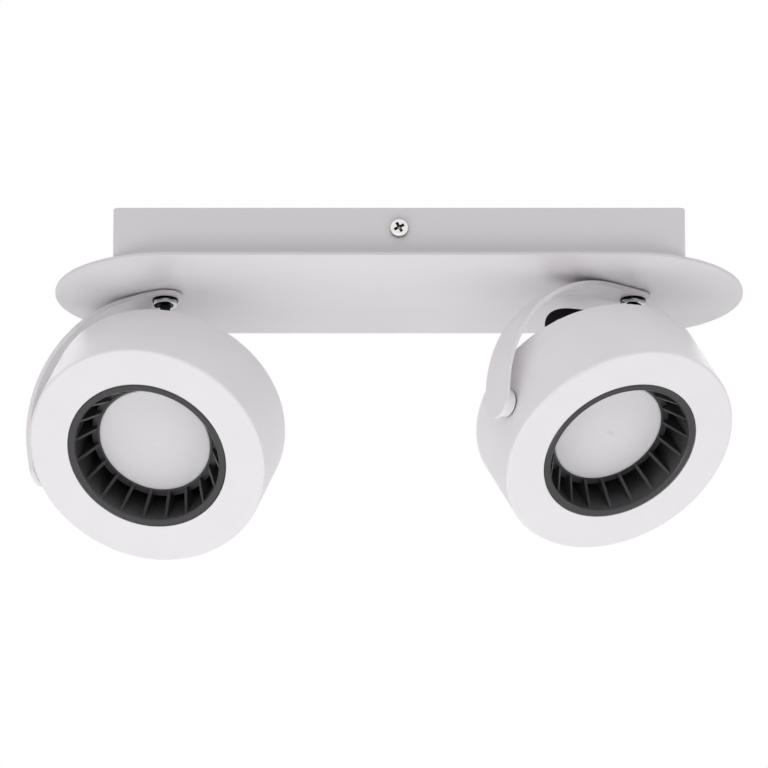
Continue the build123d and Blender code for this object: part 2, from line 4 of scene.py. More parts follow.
import bpy
import numpy as np
from mathutils import Matrix, Vector
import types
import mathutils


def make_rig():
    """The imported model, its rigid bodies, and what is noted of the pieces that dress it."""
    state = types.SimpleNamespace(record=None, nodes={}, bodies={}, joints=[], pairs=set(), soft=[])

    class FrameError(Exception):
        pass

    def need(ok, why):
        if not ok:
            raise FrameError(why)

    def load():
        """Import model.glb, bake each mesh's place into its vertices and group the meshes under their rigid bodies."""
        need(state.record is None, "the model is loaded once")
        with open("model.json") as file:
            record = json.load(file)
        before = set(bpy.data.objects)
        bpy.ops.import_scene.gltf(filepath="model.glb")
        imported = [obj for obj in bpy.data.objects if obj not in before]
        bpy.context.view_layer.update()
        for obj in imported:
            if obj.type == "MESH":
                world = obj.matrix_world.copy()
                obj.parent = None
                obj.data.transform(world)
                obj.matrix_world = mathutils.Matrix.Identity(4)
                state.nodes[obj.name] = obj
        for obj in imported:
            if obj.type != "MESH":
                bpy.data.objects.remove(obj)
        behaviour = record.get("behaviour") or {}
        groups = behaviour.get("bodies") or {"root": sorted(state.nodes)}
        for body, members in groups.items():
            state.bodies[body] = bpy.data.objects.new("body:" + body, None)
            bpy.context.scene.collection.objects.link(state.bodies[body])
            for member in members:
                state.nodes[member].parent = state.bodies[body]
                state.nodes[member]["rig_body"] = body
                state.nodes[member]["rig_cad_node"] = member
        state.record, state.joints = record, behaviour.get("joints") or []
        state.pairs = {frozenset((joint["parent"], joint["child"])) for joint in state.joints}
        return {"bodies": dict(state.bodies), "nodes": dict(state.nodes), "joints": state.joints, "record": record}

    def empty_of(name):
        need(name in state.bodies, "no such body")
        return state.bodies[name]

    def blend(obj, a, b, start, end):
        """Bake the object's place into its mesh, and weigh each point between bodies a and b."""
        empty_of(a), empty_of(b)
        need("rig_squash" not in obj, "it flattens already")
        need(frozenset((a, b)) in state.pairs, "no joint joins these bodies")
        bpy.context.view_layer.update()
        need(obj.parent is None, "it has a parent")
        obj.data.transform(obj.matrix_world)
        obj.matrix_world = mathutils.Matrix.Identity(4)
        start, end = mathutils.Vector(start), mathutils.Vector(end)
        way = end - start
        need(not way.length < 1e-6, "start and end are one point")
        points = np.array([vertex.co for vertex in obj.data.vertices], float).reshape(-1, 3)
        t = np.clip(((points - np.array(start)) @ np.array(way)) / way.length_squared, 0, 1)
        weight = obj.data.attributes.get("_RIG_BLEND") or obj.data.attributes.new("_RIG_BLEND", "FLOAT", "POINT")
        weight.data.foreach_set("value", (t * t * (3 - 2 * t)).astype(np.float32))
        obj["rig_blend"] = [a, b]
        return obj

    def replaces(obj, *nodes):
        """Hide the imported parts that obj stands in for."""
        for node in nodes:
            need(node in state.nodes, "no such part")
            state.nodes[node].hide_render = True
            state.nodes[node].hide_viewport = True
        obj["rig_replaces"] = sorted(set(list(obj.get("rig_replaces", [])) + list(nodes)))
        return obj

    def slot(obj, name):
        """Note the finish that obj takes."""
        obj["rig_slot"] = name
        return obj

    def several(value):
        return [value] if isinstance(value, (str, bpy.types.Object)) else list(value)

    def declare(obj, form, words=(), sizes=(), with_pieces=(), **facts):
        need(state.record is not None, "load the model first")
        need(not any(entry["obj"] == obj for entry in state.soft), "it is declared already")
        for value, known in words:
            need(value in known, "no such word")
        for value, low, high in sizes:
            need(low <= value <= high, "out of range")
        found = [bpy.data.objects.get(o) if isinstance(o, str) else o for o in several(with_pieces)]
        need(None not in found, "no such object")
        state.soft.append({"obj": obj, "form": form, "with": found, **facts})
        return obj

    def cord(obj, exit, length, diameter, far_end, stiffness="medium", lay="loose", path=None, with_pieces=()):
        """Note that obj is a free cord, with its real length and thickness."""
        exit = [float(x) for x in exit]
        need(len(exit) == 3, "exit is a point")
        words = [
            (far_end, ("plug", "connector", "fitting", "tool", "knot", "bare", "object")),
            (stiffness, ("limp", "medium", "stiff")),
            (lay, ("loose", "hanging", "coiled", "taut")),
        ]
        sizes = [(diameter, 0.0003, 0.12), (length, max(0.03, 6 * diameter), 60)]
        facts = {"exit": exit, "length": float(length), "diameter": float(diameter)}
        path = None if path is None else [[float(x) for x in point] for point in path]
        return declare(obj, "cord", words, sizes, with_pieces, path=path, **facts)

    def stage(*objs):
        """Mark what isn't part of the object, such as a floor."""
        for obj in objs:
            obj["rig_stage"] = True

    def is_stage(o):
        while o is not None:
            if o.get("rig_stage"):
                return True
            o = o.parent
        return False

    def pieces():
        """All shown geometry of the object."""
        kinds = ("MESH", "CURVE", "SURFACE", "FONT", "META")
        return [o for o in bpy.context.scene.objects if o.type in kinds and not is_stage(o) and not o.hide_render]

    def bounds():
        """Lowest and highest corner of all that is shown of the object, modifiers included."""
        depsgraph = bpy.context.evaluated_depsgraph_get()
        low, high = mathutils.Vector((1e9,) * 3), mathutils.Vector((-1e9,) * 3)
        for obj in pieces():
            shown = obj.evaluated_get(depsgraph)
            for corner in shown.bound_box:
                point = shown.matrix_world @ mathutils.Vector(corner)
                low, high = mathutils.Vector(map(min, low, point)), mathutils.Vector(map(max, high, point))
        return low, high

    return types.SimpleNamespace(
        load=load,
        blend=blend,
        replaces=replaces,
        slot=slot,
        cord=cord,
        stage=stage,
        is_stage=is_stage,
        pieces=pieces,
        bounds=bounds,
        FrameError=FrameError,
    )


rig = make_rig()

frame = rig.load()
NODES = frame["nodes"]
CAD_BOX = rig.bounds()
SIDES = ("left", "right")
MM = 0.001

bl_info = {
    "name": "Two-head spotlight",
    "version": (1, 0, 0),
    "blender": (4, 5, 0),
    "location": "3D View > Sidebar > Spotlight",
    "description": "Finishes, leads and studio stage of a ceiling spotlight with two swivelling heads",
    "category": "Object",
}


def linear(hex_colour):
    """Turn an sRGB hex colour into linear red, green and blue."""
    values = [int(hex_colour[i : i + 2], 16) / 255 for i in (1, 3, 5)]
    return tuple(v / 12.92 if v <= 0.04045 else ((v + 0.055) / 1.055) ** 2.4 for v in values)


def colour_property(name, description, hex_colour):
    """A colour that a user may change, given as its sRGB hex value."""
    return bpy.props.FloatVectorProperty(
        name=name,
        description=description,
        subtype="COLOR",
        size=3,
        min=0.0,
        max=1.0,
        default=linear(hex_colour),
    )


class SpotlightFinish(bpy.types.PropertyGroup):
    """Colours of the spotlight's finishes."""

    sheet_white: colour_property("Sheet white", "Powder coat of plate and canopy", "#E1DEE1")
    cast_white: colour_property("Casting white", "Powder coat of drums and arms", "#F1EEF1")
    engine_black: colour_property("Engine black", "Powder coat of the light engines", "#383739")
    opal: colour_property("Opal", "Diffuser plastic", "#EDEAEE")
    lead_black: colour_property("Lead black", "Sheath of the leads", "#0C0C0D")


class SpotlightSizes(bpy.types.PropertyGroup):
    """Sizes of the visual pieces and of the stage."""

    lead_diameter: bpy.props.FloatProperty(
        name="Lead diameter",
        description="Outer diameter of the lead between nipple and head",
        subtype="DISTANCE",
        unit="LENGTH",
        default=4.4 * MM,
        min=3.0 * MM,
        max=4.6 * MM,
    )
    edge_round: bpy.props.FloatProperty(
        name="Edge round",
        description="Rounding that the powder coat gives to sheet edges",
        subtype="DISTANCE",
        unit="LENGTH",
        default=0.35 * MM,
        min=0.0,
        max=1.0 * MM,
    )
    camera_distance: bpy.props.FloatProperty(
        name="Camera distance",
        description="Distance from the camera to the middle of the spotlight",
        subtype="DISTANCE",
        unit="LENGTH",
        default=5.0,
        min=0.5,
        max=20.0,
    )
    camera_rise: bpy.props.FloatProperty(
        name="Camera rise",
        description="Angle by which the camera looks up at the spotlight",
        subtype="ANGLE",
        unit="ROTATION",
        default=math.radians(20.42),
        min=0.0,
        max=math.radians(80),
    )
    floor_drop: bpy.props.FloatProperty(
        name="Floor drop",
        description="Height of the ceiling over the studio floor",
        subtype="DISTANCE",
        unit="LENGTH",
        default=2.4,
        min=0.5,
        max=6.0,
    )


def finish():
    """The colours set in the scene."""
    return bpy.context.scene.spotlight_finish


def sizes():
    """The sizes set in the scene."""
    return bpy.context.scene.spotlight_sizes


def add(tree, kind, inputs=None, **settings):
    """Add one node with its settings; an input given as a socket is linked, any other is set."""
    made = tree.nodes.new(kind)
    for key, value in settings.items():
        setattr(made, key, value)
    for key, value in (inputs or {}).items():
        if isinstance(value, bpy.types.NodeSocket):
            tree.links.new(value, made.inputs[key])
        else:
            made.inputs[key].default_value = value
    return made


def per_metre(millimetres):
    """Noise scale whose features are about this many millimetres wide."""
    return 1.0 / (millimetres * MM)


def rgba(colour, share=1.0):
    """A share of a linear colour, with full alpha."""
    return tuple(c * share for c in colour[:3]) + (1.0,)


def new_material(name):
    """An empty node material, its tree, its output and the object coordinates that its patterns use."""
    material = bpy.data.materials.new(name)
    material.use_nodes = True
    tree = material.node_tree
    tree.nodes.clear()
    output = add(tree, "ShaderNodeOutputMaterial")
    place = add(tree, "ShaderNodeTexCoord").outputs["Object"]
    return material, tree, output, place


# Most values of a noise pattern lie between these two
NOISE_LOW = 0.3
NOISE_HIGH = 0.7

# Powder coat, in millimetres: width of its drifts in tone and of the patches that handling rubs
COAT_DRIFT = 16.0
COAT_PATCH = 12.0
# Real orange peel is about 0.6 mm wide; it is drawn wider so that it still shows at this distance
COAT_PEEL = 1.4
COAT_PEEL_HEIGHT = 0.02
# Darkest and lightest share of the coat's colour, and how far handling moves its roughness
COAT_DARK = 0.965
COAT_LIGHT = 1.02
COAT_RUB = 0.03


def powder_coat(name, colour, roughness, peel, edge, sheen_streak_stretch=1.0):
    """Powder-coated metal: the melted powder levels into a smooth satin skin with a faint orange
    peel and softly rounded edges, so the eye sees broad soft reflections and a fine light line on
    each edge. The tone drifts at random; sheen_streak_stretch draws it out along X into painted sheen streaks, that
    many times as long as wide."""
    material, tree, output, place = new_material(name)
    # Painted sheen: on sheet the tone's drift is stretched into long light and dark streaks along X
    sheen_streak_place = add(tree, "ShaderNodeMapping", {"Vector": place, "Scale": (1.0 / sheen_streak_stretch, 1.0, 1.0)})
    drift = add(
        tree,
        "ShaderNodeTexNoise",
        {"Vector": sheen_streak_place.outputs["Vector"], "Scale": per_metre(COAT_DRIFT), "Detail": 3.0},
    )
    shade = add(
        tree,
        "ShaderNodeMix",
        {
            "Factor": drift.outputs["Fac"],
            "A": rgba(colour, COAT_DARK),
            "B": rgba(colour, COAT_LIGHT),
        },
        data_type="RGBA",
    )
    ripple = add(
        tree,
        "ShaderNodeTexNoise",
        {"Vector": place, "Scale": per_metre(COAT_PEEL), "Detail": 1.0},
    )
    handled = add(
        tree,
        "ShaderNodeTexNoise",
        {"Vector": place, "Scale": per_metre(COAT_PATCH), "Detail": 2.0},
    )
    rub = add(
        tree,
        "ShaderNodeMapRange",
        {
            "Value": handled.outputs["Fac"],
            "From Min": NOISE_LOW,
            "From Max": NOISE_HIGH,
            "To Min": roughness - COAT_RUB,
            "To Max": roughness + COAT_RUB,
        },
    )
    soft_edge = add(tree, "ShaderNodeBevel", {"Radius": edge}, samples=6)
    bump = add(
        tree,
        "ShaderNodeBump",
        {
            "Height": ripple.outputs["Fac"],
            "Strength": peel,
            "Distance": COAT_PEEL_HEIGHT * MM,
            "Normal": soft_edge.outputs["Normal"],
        },
    )
    surface = add(
        tree,
        "ShaderNodeBsdfPrincipled",
        {
            "Base Color": shade.outputs["Result"],
            "Roughness": rub.outputs["Result"],
            "IOR": 1.5,
            "Normal": bump.outputs["Normal"],
        },
    )
    tree.links.new(surface.outputs["BSDF"], output.inputs["Surface"])
    return material


# Plated metal, in millimetres: width of its stains, and how far away a wall shades a hollow
METAL_STAIN = 3.0
METAL_HOLLOW = 1.6
# Real polishing marks are under 0.1 mm wide; they are drawn wider so that they still show
METAL_MARK = 0.8
# Share of the colour in a stain, and in the painted shade of a hollow
STAIN_SHADE = 0.92
PAINTED_HOLLOW_SHADE = 0.04
# Openness of a place up to which the painted shade darkens it fully, and from which it is unshaded
FULL_SHADE_UP_TO = 0.74
UNSHADED_FROM = 0.96


def plated_metal(name, hex_colour, roughness, blotch, edge=0.15 * MM):
    """Plated metal: a bright skin whose fine polishing or passivation marks blur it in patches, with
    painted shade darkening its recesses, so the eye sees light rims around nearly black hollows."""
    material, tree, output, place = new_material(name)
    colour = linear(hex_colour)
    stain = add(
        tree,
        "ShaderNodeTexNoise",
        {"Vector": place, "Scale": per_metre(METAL_STAIN), "Detail": 2.0},
    )
    tint = add(
        tree,
        "ShaderNodeMix",
        {"Factor": stain.outputs["Fac"], "A": rgba(colour, STAIN_SHADE), "B": rgba(colour)},
        data_type="RGBA",
    )
    # Painted shade: recesses found by ambient occlusion are darkened toward near black, more the more closed they are
    hollow = add(tree, "ShaderNodeAmbientOcclusion", {"Distance": METAL_HOLLOW * MM}, samples=8)
    unshaded = add(
        tree,
        "ShaderNodeMapRange",
        {
            "Value": hollow.outputs["AO"],
            "From Min": FULL_SHADE_UP_TO,
            "From Max": UNSHADED_FROM,
            "To Min": 0.0,
            "To Max": 1.0,
        },
    )
    hollow_shaded = add(
        tree,
        "ShaderNodeMix",
        {
            "Factor": unshaded.outputs["Result"],
            "A": rgba(colour, PAINTED_HOLLOW_SHADE),
            "B": tint.outputs["Result"],
        },
        data_type="RGBA",
    )
    marks = add(
        tree,
        "ShaderNodeTexNoise",
        {"Vector": place, "Scale": per_metre(METAL_MARK), "Detail": 4.0},
    )
    rub = add(
        tree,
        "ShaderNodeMapRange",
        {
            "Value": marks.outputs["Fac"],
            "From Min": NOISE_LOW,
            "From Max": NOISE_HIGH,
            "To Min": roughness - blotch,
            "To Max": roughness + blotch,
        },
    )
    soft_edge = add(tree, "ShaderNodeBevel", {"Radius": edge}, samples=4)
    surface = add(
        tree,
        "ShaderNodeBsdfPrincipled",
        {
            "Base Color": hollow_shaded.outputs["Result"],
            "Metallic": 1.0,
            "Roughness": rub.outputs["Result"],
            "Normal": soft_edge.outputs["Normal"],
        },
    )
    tree.links.new(surface.outputs["BSDF"], output.inputs["Surface"])
    return material


# Plastic, in millimetres: width of its clouds, height of its grain, and how deep light soaks in
PLASTIC_CLOUD = 25.0
GRAIN_HEIGHT = 0.03
SOAK_DEPTH = 4.0
# Share of the colour in a cloud, and strength of the grain's bump
CLOUD_SHADE = 0.97
GRAIN_STRENGTH = 0.25


def moulded_plastic(
    name, colour, roughness, grain, ior=1.5, subsurface=0.0, shine=0.5, edge=0.2 * MM
):
    """Moulded plastic: the spark-eroded tool leaves a fine even grain that breaks the highlight, and
    light plastics let a little light soak in at their edges. Real grain is about 0.1 mm wide; it is
    drawn grain millimetres wide so that it still shows."""
    material, tree, output, place = new_material(name)
    cloud = add(
        tree,
        "ShaderNodeTexNoise",
        {"Vector": place, "Scale": per_metre(PLASTIC_CLOUD), "Detail": 2.0},
    )
    drift = add(
        tree,
        "ShaderNodeMix",
        {"Factor": cloud.outputs["Fac"], "A": rgba(colour, CLOUD_SHADE), "B": rgba(colour)},
        data_type="RGBA",
    )
    texture = add(
        tree,
        "ShaderNodeTexNoise",
        {"Vector": place, "Scale": per_metre(grain), "Detail": 3.0},
    )
    soft_edge = add(tree, "ShaderNodeBevel", {"Radius": edge}, samples=4)
    bump = add(
        tree,
        "ShaderNodeBump",
        {
            "Height": texture.outputs["Fac"],
            "Strength": GRAIN_STRENGTH,
            "Distance": GRAIN_HEIGHT * MM,
            "Normal": soft_edge.outputs["Normal"],
        },
    )
    surface = add(
        tree,
        "ShaderNodeBsdfPrincipled",
        {
            "Base Color": drift.outputs["Result"],
            "Roughness": roughness,
            "IOR": ior,
            "Specular IOR Level": shine,
            "Subsurface Weight": subsurface,
            "Subsurface Radius": (1.0, 1.0, 1.0),
            "Subsurface Scale": SOAK_DEPTH * MM,
            "Normal": bump.outputs["Normal"],
        },
    )
    tree.links.new(surface.outputs["BSDF"], output.inputs["Surface"])
    return material


def dress(material, *names):
    """Give CAD nodes their finish."""
    for name in names:
        if name not in NODES:
            raise RuntimeError(f"there is no node named {name}")
        mesh = NODES[name].data
        mesh.materials.clear()
        mesh.materials.append(material)


def both(*names):
    """The left and right node of each name."""
    return [f"{name}_{side}" for name in names for side in SIDES]


class SPOTLIGHT_OT_sheet_steel(bpy.types.Operator):
    """Finish the canopy, the base plate and the arms as powder-coated sheet steel"""

    bl_idname = "spotlight.sheet_steel"
    bl_label = "Canopy, plate and arms"

    def execute(self, context):
        # Sheet under a satin coat: faint painted sheen streaks along the bar and broad soft reflections
        sheet = powder_coat(
            "powder_coated_sheet_steel",
            finish().sheet_white,
            roughness=0.32,
            peel=0.10,
            edge=sizes().edge_round,
            sheen_streak_stretch=12.0,
        )
        # Strip in the drums' whiter coat, brighter than the sheet's so as to paint in the light that the drums bounce
        # onto the arms: an even tone without the sheet's painted sheen streaks
        strip = powder_coat(
            "powder_coated_strip_steel",
            finish().cast_white,
            roughness=0.36,
            peel=0.10,
            edge=sizes().edge_round,
        )
        dress(sheet, "canopy_box", "base_plate")
        dress(strip, *both("arm", "tilt_boss"))
        return {"FINISHED"}


class SPOTLIGHT_OT_drums(bpy.types.Operator):
    """Finish the drums and rear covers as powder-coated die castings"""

    bl_idname = "spotlight.drums"
    bl_label = "Drums and rear covers"

    def execute(self, context):
        # A duller coat on the castings: clear white faces and soft shading around the drums
        coat = powder_coat(
            "powder_coated_die_casting",
            finish().cast_white,
            roughness=0.42,
            peel=0.12,
            edge=sizes().edge_round,
        )
        dress(coat, *both("drum", "rear_cover"))
        return {"FINISHED"}


class SPOTLIGHT_OT_engines(bpy.types.Operator):
    """Finish the finned light engines and their locking rings"""

    bl_idname = "spotlight.engines"
    bl_label = "Light engines"

    def execute(self, context):
        # Black coat with a livelier peel: dark wells between fins whose edges gleam grey
        coat = powder_coat(
            "black_powder_coated_die_casting",
            finish().engine_black,
            roughness=0.32,
            peel=0.3,
            edge=0.2 * MM,
        )
        dress(coat, *both("light_engine", "locking_ring"))
        return {"FINISHED"}


class SPOTLIGHT_OT_diffusers(bpy.types.Operator):
    """Finish the opal diffusers and the boards and chips behind them"""

    bl_idname = "spotlight.diffusers"
    bl_label = "Diffusers and boards"

    def execute(self, context):
        # Milky plastic: light soaks in, so the dome shades softly and hides what is behind it
        opal = moulded_plastic(
            "moulded_opal_polycarbonate",
            finish().opal,
            roughness=0.38,
            grain=0.5,
            ior=1.58,
            subsurface=0.35,
            edge=1.2 * MM,
        )
        # Printed lacquer: a smooth white film with a low gloss
        mask = moulded_plastic("white_solder_mask", linear("#EFEFEA"), roughness=0.35, grain=0.8)
        # Cast silicone full of yellow powder: dull and even
        phosphor = moulded_plastic(
            "phosphor_silicone", linear("#F0CE55"), roughness=0.55, grain=0.3
        )
        dress(opal, *both("diffuser"))
        dress(mask, *both("led_board"))
        dress(phosphor, *both("led_chips"))
        return {"FINISHED"}


class SPOTLIGHT_OT_hardware(bpy.types.Operator):
    """Finish nuts, nipples, washers, screws and the ceiling bracket"""

    bl_idname = "spotlight.hardware"
    bl_label = "Nuts, screws and bracket"

    def execute(self, context):
        # Polished chrome: sharp reflections of the pale plate beside dark ones
        chrome = plated_metal("chrome_plated_steel", "#C8C9CC", roughness=0.10, blotch=0.04)
        # Passivated zinc: a cloudy blue-grey satin
        zinc = plated_metal("zinc_plated_steel", "#C2C4C8", roughness=0.34, blotch=0.08)
        # Barrel-plated nickel: a light, slightly warm satin
        nickel = plated_metal("nickel_plated_steel", "#EEEBEA", roughness=0.30, blotch=0.10)
        # Black oxide: almost black, with the dull gleam of the steel
        blued = plated_metal("black_oxide_steel", "#2B2B2D", roughness=0.36, blotch=0.08)
        # Charcoal nylon with hardly any gloss; its dark colour is partly painted shade that deepens the thin gaps
        # between arm and plate and round the tilt bosses
        nylon = moulded_plastic(
            "dark_nylon_painted_gap_shade",
            linear("#1B1B1C"),
            roughness=0.6,
            grain=0.6,
            ior=1.53,
            shine=0.2,
        )
        dress(chrome, *both("swivel_nut"))
        dress(nickel, "canopy_screws")
        dress(
            zinc,
            "mounting_bracket",
            "earth_stud",
            "stop_pins",
            *both("swivel_upper_nut", "swivel_spring", "stop_washer"),
            *both("tilt_screw", "tilt_spring", "cover_screws", "board_screws"),
        )
        dress(blued, *both("swivel_nipple", "lock_washer"))
        dress(nylon, "friction_washers", "upper_friction_washers", *both("tilt_washer"))
        return {"FINISHED"}


class SPOTLIGHT_OT_wiring_gear(bpy.types.Operator):
    """Finish the driver, the terminal block and the earth nut inside the canopy"""

    bl_idname = "spotlight.wiring_gear"
    bl_label = "Driver and terminals"

    def execute(self, context):
        # Moulded case: pale grey with a fine matt grain
        case = moulded_plastic("moulded_abs_case", linear("#D4D5D6"), roughness=0.5, grain=0.7)
        # Unfilled polyamide: creamy, with light soaking into its edges
        polyamide = moulded_plastic(
            "moulded_polyamide",
            linear("#E2E1DA"),
            roughness=0.45,
            grain=0.6,
            ior=1.53,
            subsurface=0.15,
        )
        # Turned brass: a warm yellow gleam, blurred by fine marks
        brass = plated_metal("turned_brass", "#C9A45A", roughness=0.28, blotch=0.06)
        # Foam tape: dark and dull
        foam = moulded_plastic("adhesive_foam", linear("#2B2B2B"), roughness=0.8, grain=0.4)
        dress(case, "led_driver")
        dress(polyamide, "terminal_block")
        dress(brass, "terminal_screws", "earth_nut")
        dress(foam, "driver_pad")
        return {"FINISHED"}


def joint_point(name):
    """The point of a joint, in the row frame."""
    found = [joint for joint in frame["joints"] if joint["name"] == name]
    if not found:
        raise RuntimeError(f"there is no joint named {name}")
    return Vector(found[0]["pos_m"])


# Pose of each head at rest, in degrees: turn of the arm, sag of its strip, tilt of the head
ARM_TURN = {"left": 152.0, "right": 217.0}
ARM_SAG = {"left": 5.2, "right": 0.9}
HEAD_TILT = {"left": 40.5, "right": 36.3}
# Route of the lead down to its loop, in millimetres of its swivel's own frame. It follows the CAD
# lead; the loop is raised and points are added, so that it shows where the photograph has it
LEAD_START = ((0, 0, 10.9), (0, 0, 0), (0, 0, -11), (8.5, -7, -10.5), (32, -26.6, -6.4))
# The rest of the route lies on the drum's axis, at these distances from the tilt axis
LEAD_ON_AXIS = (35.0, 27.0, 12.0)
# The lead turns with the arm down to the nipple's end, and with the head from the grommet's nose on
NIPPLE_END = -5.5
NOSE_END = 25.0
# Steps along each stretch of the lead, and steps that round its section
LEAD_STEPS = 24
SECTION_STEPS = 6


def lead_places(side):
    """Two functions that give points of the row frame: one from places in the swivel's own frame,
    the other from distances along the drum's axis, both in millimetres."""
    swivel = joint_point(f"swivel_{side}")
    pivot = joint_point(f"tilt_{side}")
    turn = Matrix.Rotation(math.radians(ARM_TURN[side]), 3, "Z")
    sag = Matrix.Rotation(math.radians(ARM_SAG[side]), 3, "Y")
    tilt = Matrix.Rotation(math.radians(HEAD_TILT[side]), 3, "X")
    back = turn @ sag @ tilt @ Vector((0, 0, 1))

    def on_swivel(place):
        return swivel + turn @ Vector(place) * MM

    def on_axis(distance):
        return pivot + back * distance * MM

    return on_swivel, on_axis


def spline_curve(name, points, depth):
    """A smooth curve with these control points, bevelled to a tube when depth is above zero."""
    curve = bpy.data.curves.new(name, "CURVE")
    curve.dimensions = "3D"
    spline = curve.splines.new("NURBS")
    spline.points.add(len(points) - 1)
    for target, point in zip(spline.points, points):
        target.co = (*point, 1.0)
    spline.order_u = 3
    spline.use_endpoint_u = True
    spline.resolution_u = LEAD_STEPS
    curve.bevel_depth = depth
    curve.bevel_resolution = SECTION_STEPS
    curve.use_fill_caps = True
    return bpy.data.objects.new(name, curve)


def mesh_of(thing):
    """The mesh that Blender makes from a curve object, which is then removed."""
    bpy.context.scene.collection.objects.link(thing)
    bpy.context.view_layer.update()
    ready = thing.evaluated_get(bpy.context.evaluated_depsgraph_get())
    mesh = bpy.data.meshes.new_from_object(ready)
    bpy.data.objects.remove(thing)
    return mesh


class SPOTLIGHT_OT_leads(bpy.types.Operator):
    """Lay the black leads from the nipples to the heads, and finish their grommets"""

    bl_idname = "spotlight.leads"
    bl_label = "Leads and grommets"

    def execute(self, context):
        # Extruded sheath: black and matt, so it hardly shows a highlight
        sheath = moulded_plastic(
            "extruded_matt_pvc",
            finish().lead_black,
            roughness=0.65,
            grain=0.5,
            ior=1.54,
            shine=0.15,
            edge=0.1 * MM,
        )
        # Moulded rubber: dull black, a little greyer than the sheath
        rubber = moulded_plastic(
            "moulded_rubber", linear("#131314"), roughness=0.6, grain=0.5, shine=0.2
        )
        dress(rubber, *both("lead_grommet"))
        diameter = sizes().lead_diameter
        for side in SIDES:
            on_swivel, on_axis = lead_places(side)
            route = [on_swivel(place) for place in LEAD_START]
            route += [on_axis(distance) for distance in LEAD_ON_AXIS]
            line = mesh_of(spline_curve(f"line_{side}", route, 0.0))
            path = [tuple(v.co) for v in line.vertices]
            tube = mesh_of(spline_curve(f"tube_{side}", route, diameter / 2))
            tube.materials.clear()
            tube.materials.append(sheath)
            for face in tube.polygons:
                face.use_smooth = True
            lead = bpy.data.objects.new(f"lead_{side}", tube)
            context.scene.collection.objects.link(lead)
            steps = np.linalg.norm(np.diff(np.array(path), axis=0), axis=1)
            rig.replaces(lead, f"head_lead_{side}")
            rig.slot(lead, "black_lead")
            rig.blend(
                lead,
                f"arm_{side}",
                f"head_{side}",
                start=on_swivel((0, 0, NIPPLE_END)),
                end=on_axis(NOSE_END),
            )
            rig.cord(
                lead,
                exit=path[0],
                length=float(steps.sum()),
                diameter=diameter,
                far_end="object",
                stiffness="limp",
                path=path,
            )
        return {"FINISHED"}


# The photograph's frame, in millimetres: the point at its middle, and its width at that point
VIEW_MIDDLE = (-6.58, 0.0, -65.9)
VIEW_WIDTH = 334.2
SENSOR_WIDTH = 36.0
# Furthest distance that the camera draws, in metres
CAMERA_REACH = 50.0
# Strength of the studio's light from below and from above, and the slope up to which the two blend
LIGHT_BELOW = 0.04
LIGHT_ABOVE = 0.86
HORIZON_BLEND = 0.2
# Half the floor's width in metres, and the width of the mottle in its paint in millimetres
FLOOR_HALF = 4.0
FLOOR_MOTTLE = 300.0
# Studio lamps: place, width and height in metres, power in watts
SOFTBOXES = {
    "key_below_left": ((-1.4, -0.9, -1.6), 1.2, 1.2, 8.0),
    "fill_below_front": ((0.0, -1.3, -1.8), 1.4, 1.2, 6.4),
    "fill_below_right": ((1.4, -0.9, -1.6), 1.2, 1.2, 4.2),
    "right_side": ((2.2, -0.1, -0.5), 1.2, 1.2, 3.0),
    "back_above": ((0.0, 1.4, 1.4), 1.4, 1.2, 18.5),
}


def look_at(place, target):
    """Rotation that turns an object's -Z from place toward target, with +Z up in its view."""
    return (Vector(target) - Vector(place)).to_track_quat("-Z", "Y").to_euler()


def add_camera(scene, middle):
    """The photograph's camera: it looks up from below, and its lens keeps the frame's width."""
    rise = sizes().camera_rise
    distance = sizes().camera_distance
    away = Vector((0.0, -math.cos(rise), -math.sin(rise)))
    camera = bpy.data.cameras.new("camera")
    camera.sensor_width = SENSOR_WIDTH
    camera.lens = SENSOR_WIDTH * distance / (VIEW_WIDTH * MM)
    camera.clip_end = CAMERA_REACH
    viewer = bpy.data.objects.new("camera", camera)
    viewer.location = middle + away * distance
    viewer.rotation_euler = look_at(viewer.location, middle)
    scene.collection.objects.link(viewer)
    scene.camera = viewer


def add_surround(scene):
    """A surround that is white to the camera, in reflections and through clear pieces, and that
    otherwise lights the spotlight mostly from above."""
    world = bpy.data.worlds.new("white_studio")
    scene.world = world
    world.use_nodes = True
    tree = world.node_tree
    tree.nodes.clear()
    ray = add(tree, "ShaderNodeLightPath").outputs
    direct = add(
        tree,
        "ShaderNodeMath",
        {0: ray["Is Camera Ray"], 1: ray["Is Glossy Ray"]},
        operation="MAXIMUM",
    )
    seen = add(
        tree,
        "ShaderNodeMath",
        {0: direct.outputs[0], 1: ray["Is Transmission Ray"]},
        operation="MAXIMUM",
    )
    way = add(tree, "ShaderNodeTexCoord").outputs["Generated"]
    slope = add(tree, "ShaderNodeSeparateXYZ", {"Vector": way}).outputs["Z"]
    level = add(
        tree,
        "ShaderNodeMapRange",
        {
            "Value": slope,
            "From Min": -HORIZON_BLEND,
            "From Max": HORIZON_BLEND,
            "To Min": LIGHT_BELOW,
            "To Max": LIGHT_ABOVE,
        },
    )
    ambient = add(
        tree,
        "ShaderNodeBackground",
        {"Color": (1.0, 1.0, 1.0, 1.0), "Strength": level.outputs["Result"]},
    )
    white = add(
        tree,
        "ShaderNodeBackground",
        {"Color": (1.0, 1.0, 1.0, 1.0), "Strength": 1.0},
    )
    mixed = add(
        tree,
        "ShaderNodeMixShader",
        {0: seen.outputs[0], 1: ambient.outputs[0], 2: white.outputs[0]},
    )
    add(tree, "ShaderNodeOutputWorld", {"Surface": mixed.outputs[0]})


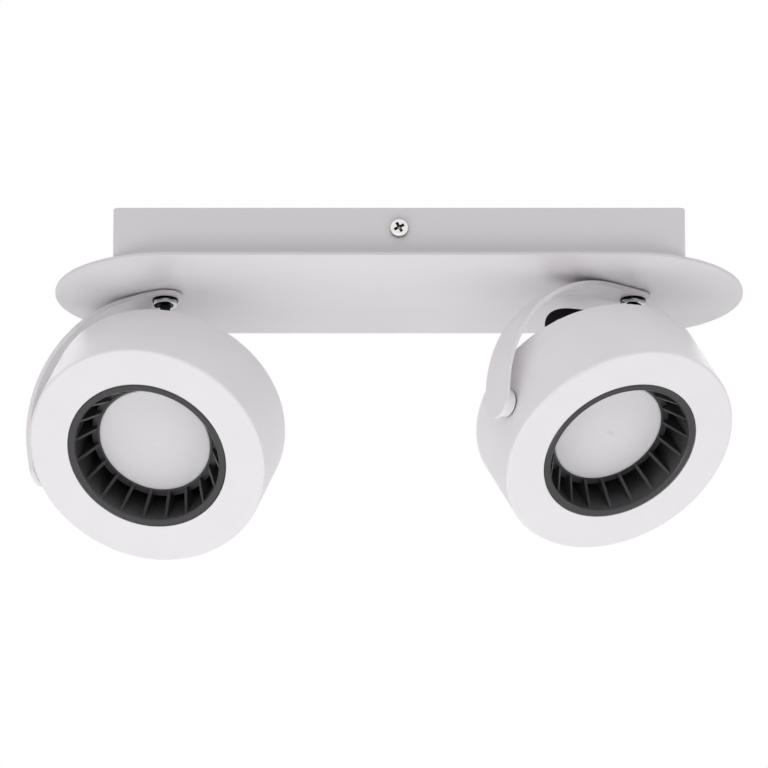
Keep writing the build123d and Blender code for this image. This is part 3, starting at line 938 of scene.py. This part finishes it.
def floor_paint():
    """Matt paint rolled on the floor: nearly white and without gloss, with a very faint mottle."""
    material, tree, output, place = new_material("matt_painted_floor")
    mottle = add(
        tree, "ShaderNodeTexNoise", {"Vector": place, "Scale": per_metre(FLOOR_MOTTLE)}
    )
    tone = add(
        tree,
        "ShaderNodeMix",
        {
            "Factor": mottle.outputs["Fac"],
            "A": rgba(linear("#EFEFEF")),
            "B": rgba(linear("#F6F6F6")),
        },
        data_type="RGBA",
    )
    paint = add(
        tree,
        "ShaderNodeBsdfPrincipled",
        {"Base Color": tone.outputs["Result"], "Roughness": 0.8},
    )
    tree.links.new(paint.outputs["BSDF"], output.inputs["Surface"])
    return material


def add_floor(scene):
    """The pale floor of the studio, far below the spotlight."""
    drop = -sizes().floor_drop
    corners = [
        (-FLOOR_HALF, -FLOOR_HALF, drop),
        (FLOOR_HALF, -FLOOR_HALF, drop),
        (FLOOR_HALF, FLOOR_HALF, drop),
        (-FLOOR_HALF, FLOOR_HALF, drop),
    ]
    mesh = bpy.data.meshes.new("floor")
    mesh.from_pydata(corners, [], [(0, 1, 2, 3)])
    mesh.materials.append(floor_paint())
    floor = bpy.data.objects.new("floor", mesh)
    scene.collection.objects.link(floor)
    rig.stage(floor)


def add_softbox(scene, name, place, target, width, height, watts):
    """One large soft studio lamp."""
    lamp = bpy.data.lights.new(name, "AREA")
    lamp.shape = "RECTANGLE"
    lamp.size = width
    lamp.size_y = height
    lamp.energy = watts
    box = bpy.data.objects.new(name, lamp)
    box.location = place
    box.rotation_euler = look_at(place, target)
    scene.collection.objects.link(box)


class SPOTLIGHT_OT_stage(bpy.types.Operator):
    """Set up the camera, the white surround, the pale floor and the soft lamps"""

    bl_idname = "spotlight.stage"
    bl_label = "Studio stage"

    def execute(self, context):
        scene = context.scene
        scene.view_settings.view_transform = "Standard"
        middle = Vector(VIEW_MIDDLE) * MM
        add_camera(scene, middle)
        add_surround(scene)
        add_floor(scene)
        for name, (place, width, height, watts) in SOFTBOXES.items():
            add_softbox(scene, name, place, middle, width, height, watts)
        return {"FINISHED"}


OPERATORS = (
    SPOTLIGHT_OT_stage,
    SPOTLIGHT_OT_leads,
    SPOTLIGHT_OT_sheet_steel,
    SPOTLIGHT_OT_drums,
    SPOTLIGHT_OT_engines,
    SPOTLIGHT_OT_diffusers,
    SPOTLIGHT_OT_hardware,
    SPOTLIGHT_OT_wiring_gear,
)


class SPOTLIGHT_PT_panel(bpy.types.Panel):
    """Steps and settings of the spotlight"""

    bl_label = "Spotlight"
    bl_idname = "SPOTLIGHT_PT_panel"
    bl_space_type = "VIEW_3D"
    bl_region_type = "UI"
    bl_category = "Spotlight"

    def draw(self, context):
        layout = self.layout
        for group in (context.scene.spotlight_finish, context.scene.spotlight_sizes):
            column = layout.column()
            for key in group.__annotations__:
                column.prop(group, key)
        for operator in OPERATORS:
            layout.operator(operator.bl_idname)


CLASSES = (SpotlightFinish, SpotlightSizes, *OPERATORS, SPOTLIGHT_PT_panel)


def register():
    for cls in CLASSES:
        bpy.utils.register_class(cls)
    bpy.types.Scene.spotlight_finish = bpy.props.PointerProperty(type=SpotlightFinish)
    bpy.types.Scene.spotlight_sizes = bpy.props.PointerProperty(type=SpotlightSizes)


def unregister():
    del bpy.types.Scene.spotlight_sizes
    del bpy.types.Scene.spotlight_finish
    for cls in reversed(CLASSES):
        bpy.utils.unregister_class(cls)


def main():
    register()
    bpy.ops.spotlight.stage()
    bpy.ops.spotlight.leads()
    bpy.ops.spotlight.sheet_steel()
    bpy.ops.spotlight.drums()
    bpy.ops.spotlight.engines()
    bpy.ops.spotlight.diffusers()
    bpy.ops.spotlight.hardware()
    bpy.ops.spotlight.wiring_gear()
    boxes = {"cad": CAD_BOX, "visual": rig.bounds()}
    plain = {key: [list(corner) for corner in value] for key, value in boxes.items()}
    with open("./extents.json", "w") as handle:
        json.dump(plain, handle)


if __name__ == "__main__":
    main()
